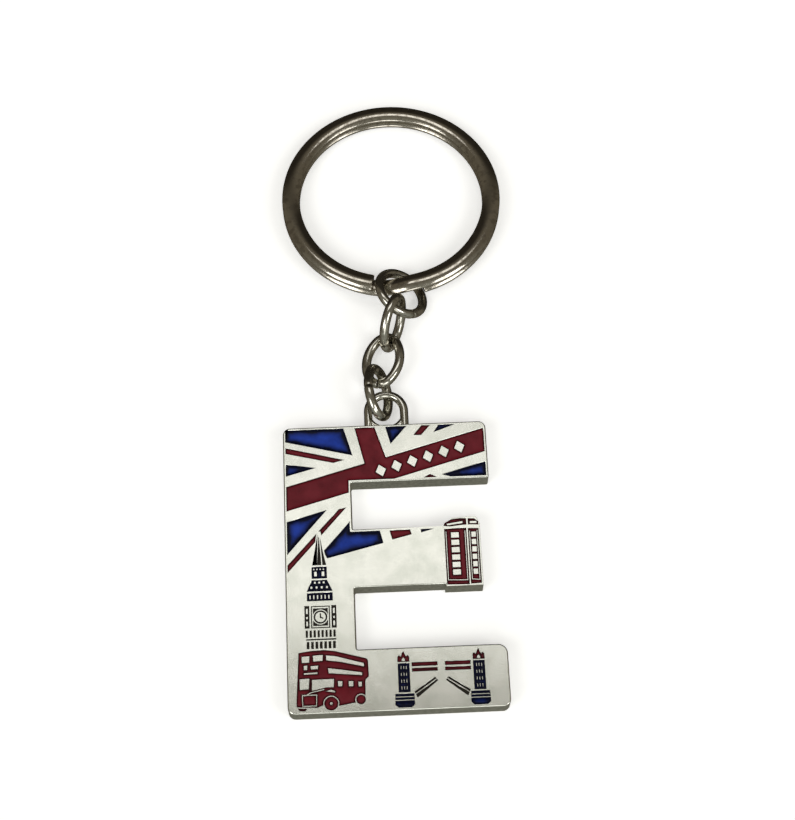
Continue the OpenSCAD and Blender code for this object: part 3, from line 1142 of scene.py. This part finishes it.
@dataclass(frozen=True)
class SoftSun:
    """A broad, far light; its azimuth is counted from the front to the right, and its angles in degrees."""

    name: str
    azimuth: float
    elevation: float
    spread: float
    strength: float

    def build(self) -> bpy.types.Object:
        """Makes the light.

        Returns:
            The light, in the scene.
        """
        turn, tilt = math.radians(self.azimuth), math.radians(self.elevation)
        away = Vector((math.sin(turn) * math.cos(tilt), -math.cos(turn) * math.cos(tilt), math.sin(tilt)))
        data = bpy.data.lights.new(self.name, "SUN")
        data.angle = math.radians(self.spread)
        data.energy = self.strength
        lamp = bpy.data.objects.new(self.name, data)
        lamp.location = away
        lamp.rotation_euler = away.to_track_quat("Z", "Y").to_euler()
        bpy.context.scene.collection.objects.link(lamp)
        return lamp


@dataclass
class Studio:
    """The light table, the soft light, the room round them and the camera."""

    # The camera: its lens in millimetres, its direction in degrees, and the point that it looks at
    focal: float = 76.98
    sensor: float = 36.0
    elevation: float = 66.89
    azimuth: float = -2.43
    distance: float = 223.7 * MM
    nearest: float = 0.005
    target_mm: tuple[float, float, float] = (-0.195, -2.90, 1.0)
    table_half_width: float = 8.0
    table_drop: float = 0.01 * MM
    lights: tuple[Softbox | SoftSun, ...] = (
        Softbox("box_over", at=(0.01, 0.142, 0.46), aim=(0.01, 0.142, 0.0), size=(0.34, 0.125), power=0.185),
        SoftSun("key_left", azimuth=-50.0, elevation=48.0, spread=26.0, strength=0.62),
        SoftSun("key_right", azimuth=56.0, elevation=46.0, spread=24.0, strength=0.52),
        SoftSun("fill_front", azimuth=4.0, elevation=40.0, spread=30.0, strength=0.42),
    )
    # The room's colours, and between which depths, from -1 in front to 1 behind, each follows on the last
    room_front: str = "989990"
    room_back: str = "686256"
    room_far: str = "302c26"
    back_span: tuple[float, float] = (-0.75, 0.15)
    far_span: tuple[float, float] = (0.5, 0.68)
    # Below the table's edge everything counts as lying deeper in the room
    below_span: tuple[float, float] = (0.1, -0.3)
    below_depth: float = 0.35

    def floor(self) -> None:
        """Lays the light table's film."""
        form = bmesh.new()
        bmesh.ops.create_grid(form, x_segments=1, y_segments=1, size=self.table_half_width)
        bmesh.ops.translate(form, verts=form.verts, vec=(0, 0, -self.table_drop))
        film = to_object(form, "paper", [LightTableFilm().build()])
        film.visible_glossy = False

    def room(self) -> None:
        """Sets the room that the metal mirrors: pale in front, warm behind, dark at its far end and below."""
        world = bpy.data.worlds.new("room")
        world.use_nodes = True
        tree = world.node_tree
        toward = add_node(tree, "ShaderNodeTexCoord").outputs["Generated"]
        axes = add_node(tree, "ShaderNodeSeparateXYZ", links={0: toward})
        below = add_node(
            tree,
            "ShaderNodeMapRange",
            {"From Min": self.below_span[0], "From Max": self.below_span[1], "To Max": self.below_depth},
            {"Value": axes.outputs["Z"]},
        )
        depth = add_node(
            tree,
            "ShaderNodeMath",
            {"operation": "ADD"},
            {0: axes.outputs["Y"], 1: below.outputs["Result"]},
        )
        tint = None
        for span, colour in ((self.back_span, self.room_back), (self.far_span, self.room_far)):
            share = add_node(
                tree,
                "ShaderNodeMapRange",
                {"From Min": span[0], "From Max": span[1]},
                {"Value": depth.outputs["Value"]},
            )
            settings = {"data_type": "RGBA", 6: linear(self.room_front), 7: linear(colour)}
            nearer = {6: tint.outputs[2]} if tint else {}
            tint = add_node(tree, "ShaderNodeMix", settings, {0: share.outputs["Result"], **nearer})
        tree.links.new(tint.outputs[2], tree.nodes["Background"].inputs["Color"])
        bpy.context.scene.world = world

    def camera(self) -> None:
        """Sets the camera at the viewing angle."""
        turn, tilt = math.radians(self.azimuth), math.radians(self.elevation)
        forward = Vector((-math.sin(turn) * math.cos(tilt), math.cos(turn) * math.cos(tilt), -math.sin(tilt)))
        data = bpy.data.cameras.new("camera")
        data.sensor_fit = "HORIZONTAL"
        data.sensor_width = self.sensor
        data.lens = self.focal
        data.clip_start = self.nearest
        data.dof.use_dof = False
        camera = bpy.data.objects.new("camera", data)
        camera.location = Vector(self.target_mm) * MM - forward * self.distance
        camera.rotation_euler = forward.to_track_quat("-Z", "Y").to_euler()
        bpy.context.scene.collection.objects.link(camera)
        bpy.context.scene.camera = camera

    def build(self) -> None:
        """Sets up the whole studio."""
        self.camera()
        self.floor()
        for light in self.lights:
            light.build()
        self.room()
        bpy.context.scene.view_settings.view_transform = "Standard"


# ---------------------------------------------------------------- the whole


def main() -> None:
    """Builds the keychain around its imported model, in order."""
    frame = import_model()
    Studio().build()

    charm = Charm(
        faces=SatinNickel().build(),
        shaded_walls=ShadedCastWall().build(),
        loop=SatinNickel("polished_nickel_loop", face="d6d4ca", shade="bdbbb0", roughness=0.12).build(),
        enamels={
            # Each enamel's second colour is its deep tone and also the painted shade near the cell's wall
            Fill.RED: SoftEnamel("soft_enamel_burgundy", "7b212c", "340b11", shade_reach_mm=0.28).build(),
            Fill.BLUE: SoftEnamel("soft_enamel_blue", "2144b8", "060a24", shade_reach_mm=1.15).build(),
            # A black resin wash, wiped off the metal lines, which stays in the finest cells
            Fill.ANTIQUE: SoftEnamel("antique_black", "33302a", "1b1814", shade_reach_mm=0.1, roughness=0.4).build(),
        },
    )
    fills = [n for n in frame["record"]["behaviour"]["bodies"]["charm"] if n != "charm_plate"]
    pieces = charm.build(fills)

    wire = DrawnWire().build()
    lower_place = Place((-2.625, -0.96, 2.55), (3, -3, 57))
    middle_place = Place((-1.825, 3.84, 2.0), (-12, 0, -17))
    upper_place = Place((-0.325, 8.84, 3.1), (-15.5, 28, 71.5))
    jump_place = Place((0.975, 13.41, 2.575), (-13, -22, 27))
    chain = [
        OvalLink("lower_oval_link", "chain_link_lower", "lower_link", lower_place, butt=Butt.LEFT),
        OvalLink("middle_oval_link", "chain_link_middle", "middle_link", middle_place),
        OvalLink("upper_oval_link", "chain_link_upper", "upper_link", upper_place),
        JumpRing("round_jump_ring", "jump_ring", "jump_ring", jump_place),
    ]
    pieces += [link.bent(wire) for link in chain]

    # The ring's spring steel takes a slightly warmer, brighter plate than the soft wire
    spring = DrawnWire("nickel_spring_wire", colour="c6c0b4", dull="a39c8f", roughness=0.09).build()
    pieces.append(SplitRing().build(spring))
    for piece in pieces:
        log.info("%s: %d faces", piece.name, len(piece.data.polygons))


if __name__ == "__main__":
    logging.basicConfig(level=logging.INFO, format="%(name)s: %(message)s")
    main()
